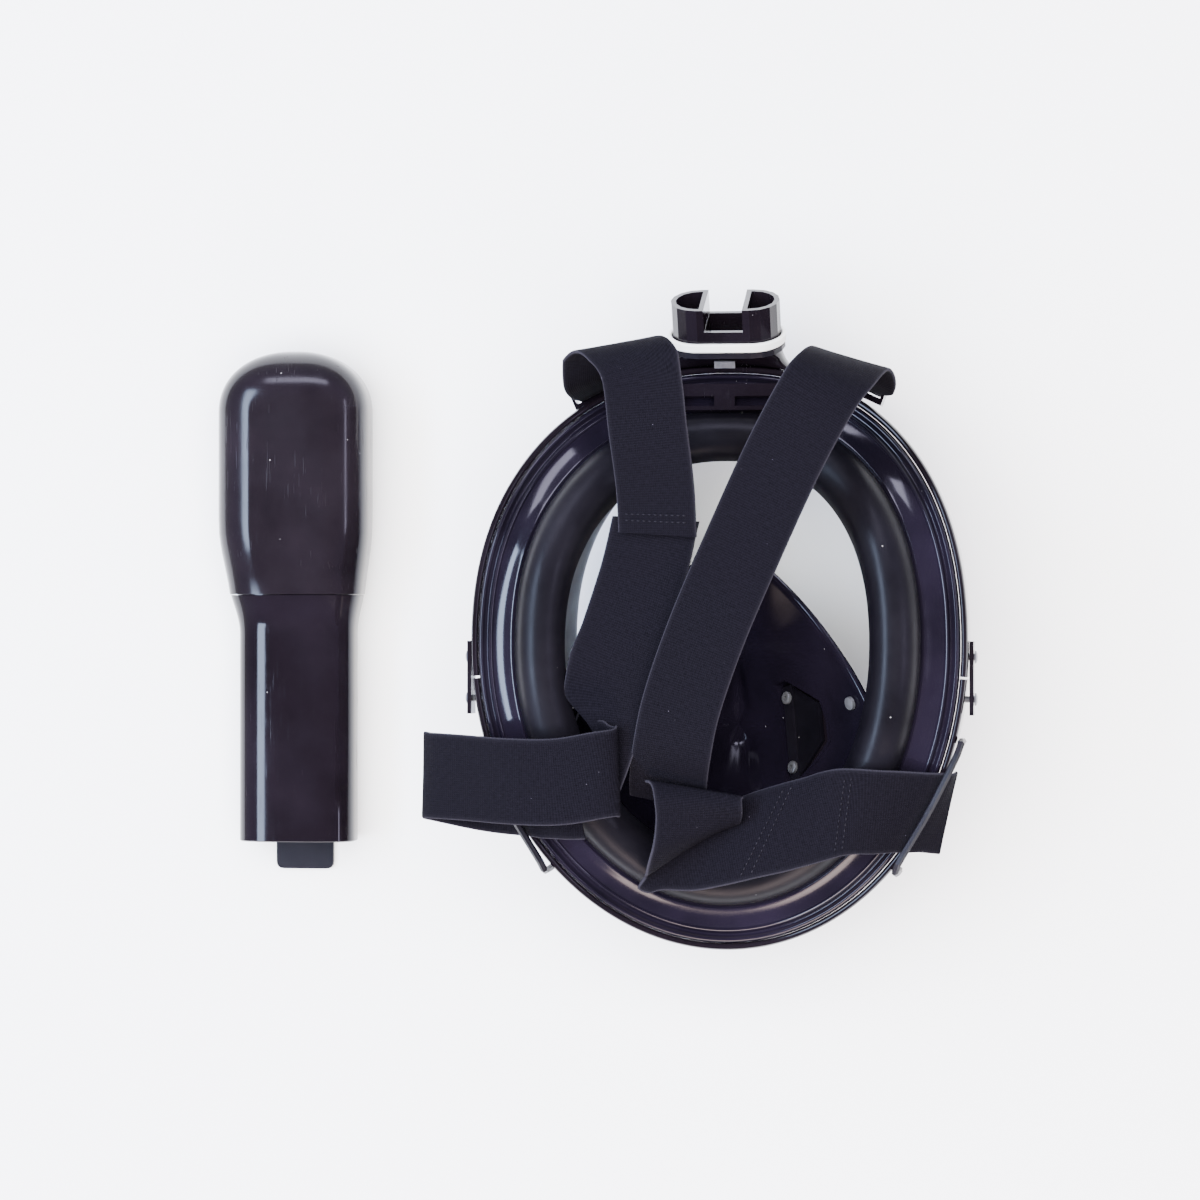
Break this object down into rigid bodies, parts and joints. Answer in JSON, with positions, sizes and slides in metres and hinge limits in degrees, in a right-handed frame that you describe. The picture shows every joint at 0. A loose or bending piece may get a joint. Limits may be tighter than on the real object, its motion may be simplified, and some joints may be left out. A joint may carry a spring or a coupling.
{
  "type": "full face snorkel mask",
  "caption": "Black full face snorkel mask with clear lens, silicone skirt, nose pocket, socket and elastic head straps, lying beside its detached dry-top breathing tube.",
  "frame": {"origin": "middle of the flat front panel of the lens, on its outer face, which is the surface that the mask lies on", "axes": "+Z from the lens to the wearer's face, +Y to the crown and the snorkel socket, +X across the mask, away from the detached tube"},
  "size_m": [0.3073, 0.256, 0.1198],
  "materials": {
    "clear_lens": "clear polished polycarbonate",
    "gloss_black": "injection moulded, polished, fine handling scratches",
    "satin_black": "satin moulded",
    "silicone_black": "silicone, polished bands and a satin face seal",
    "white_rubber": "matte seal ring",
    "elastic_webbing": "woven elastic with ribbed face and firmer edges",
    "float_plastic": "foamed plastic",
    "steel": "satin stainless"
  },
  "bodies": {
    "mask": {"lens": "clear_lens", "frame_upper": "gloss_black", "frame_lower": "gloss_black", "frame_clip_right": "gloss_black", "frame_screw_right_1": "steel", "frame_screw_right_2": "steel", "frame_clip_left": "gloss_black", "frame_screw_left_1": "steel", "frame_screw_left_2": "steel", "skirt": "silicone_black", "forehead_vent": "gloss_black", "orinasal_pocket": "silicone_black", "pocket_valve_seat_right": "gloss_black", "pocket_valve_strip_right": "satin_black", "pocket_valve_pin_right_1": "steel", "pocket_valve_pin_right_2": "steel", "pocket_stud_right": "steel", "pocket_valve_seat_left": "gloss_black", "pocket_valve_strip_left": "satin_black", "pocket_valve_pin_left_1": "steel", "pocket_valve_pin_left_2": "steel", "pocket_stud_left": "steel", "drain_seat": "satin_black", "drain_cover": "gloss_black", "snorkel_socket": "gloss_black", "socket_seal": "white_rubber", "socket_valve_plate": "satin_black", "socket_neck": "gloss_black", "tube_catch": "steel", "strap_upper_left": "elastic_webbing", "strap_upper_right": "elastic_webbing", "strap_lower_left": "elastic_webbing", "strap_lower_right": "elastic_webbing", "strap_lug_upper_left": "gloss_black", "strap_lug_upper_right": "gloss_black", "strap_lug_lower_left": "satin_black", "strap_lug_lower_right": "satin_black"},
    "tube": {"tube_body": "gloss_black", "cap_shell": "gloss_black", "float_cage": "satin_black", "valve_seat": "satin_black", "tube_divider_right": "satin_black", "tube_divider_left": "satin_black"},
    "float": {"float_body": "float_plastic", "float_seal": "silicone_black"},
    "tube_latch": {"latch_tongue": "satin_black"},
    "inhale_flap_right": {"pocket_valve_flap_right": "silicone_black"},
    "inhale_flap_left": {"pocket_valve_flap_left": "silicone_black"},
    "exhaust_flap_right": {"exhaust_flap_right": "silicone_black"},
    "exhaust_flap_left": {"exhaust_flap_left": "silicone_black"},
    "drain_disc": {"drain_disc": "silicone_black"}
  },
  "joints": [
    {"name": "tube_slide", "type": "slide", "parent": "mask", "child": "tube", "axis": [0, 1, 0], "range_m": [-0.03, 0.06]},
    {"name": "float_slide", "type": "slide", "parent": "tube", "child": "float", "axis": [0, 1, 0], "range_m": [0, 0.01]},
    {"name": "latch_flex", "type": "hinge", "parent": "tube", "child": "tube_latch", "pos_m": [-0.1784, -0.056, 0.0012], "axis": [-1, 0, 0], "range_deg": [0, 6], "stiffness_Nm_per_rad": 0.05},
    {"name": "inhale_flap_right_hinge", "type": "hinge", "parent": "mask", "child": "inhale_flap_right", "pos_m": [0.02559, -0.03408, 0.03588], "axis": [0.1079, -0.9614, 0.2531], "range_deg": [0, 25], "stiffness_Nm_per_rad": 0.001},
    {"name": "inhale_flap_left_hinge", "type": "hinge", "parent": "mask", "child": "inhale_flap_left", "pos_m": [-0.02559, -0.03408, 0.03588], "axis": [0.1079, 0.9614, -0.2531], "range_deg": [0, 25], "stiffness_Nm_per_rad": 0.001},
    {"name": "exhaust_flap_right_hinge", "type": "hinge", "parent": "mask", "child": "exhaust_flap_right", "pos_m": [0.0099, 0.119, 0.05507], "axis": [0, -0.4384, 0.8988], "range_deg": [0, 30], "stiffness_Nm_per_rad": 0.0005},
    {"name": "exhaust_flap_left_hinge", "type": "hinge", "parent": "mask", "child": "exhaust_flap_left", "pos_m": [-0.0099, 0.119, 0.05507], "axis": [0, 0.4384, -0.8988], "range_deg": [0, 30], "stiffness_Nm_per_rad": 0.0005},
    {"name": "drain_disc_lift", "type": "slide", "parent": "mask", "child": "drain_disc", "axis": [0, -0.8227, -0.5684], "range_m": [0, 0.002], "stiffness_N_per_m": 20}
  ]
}
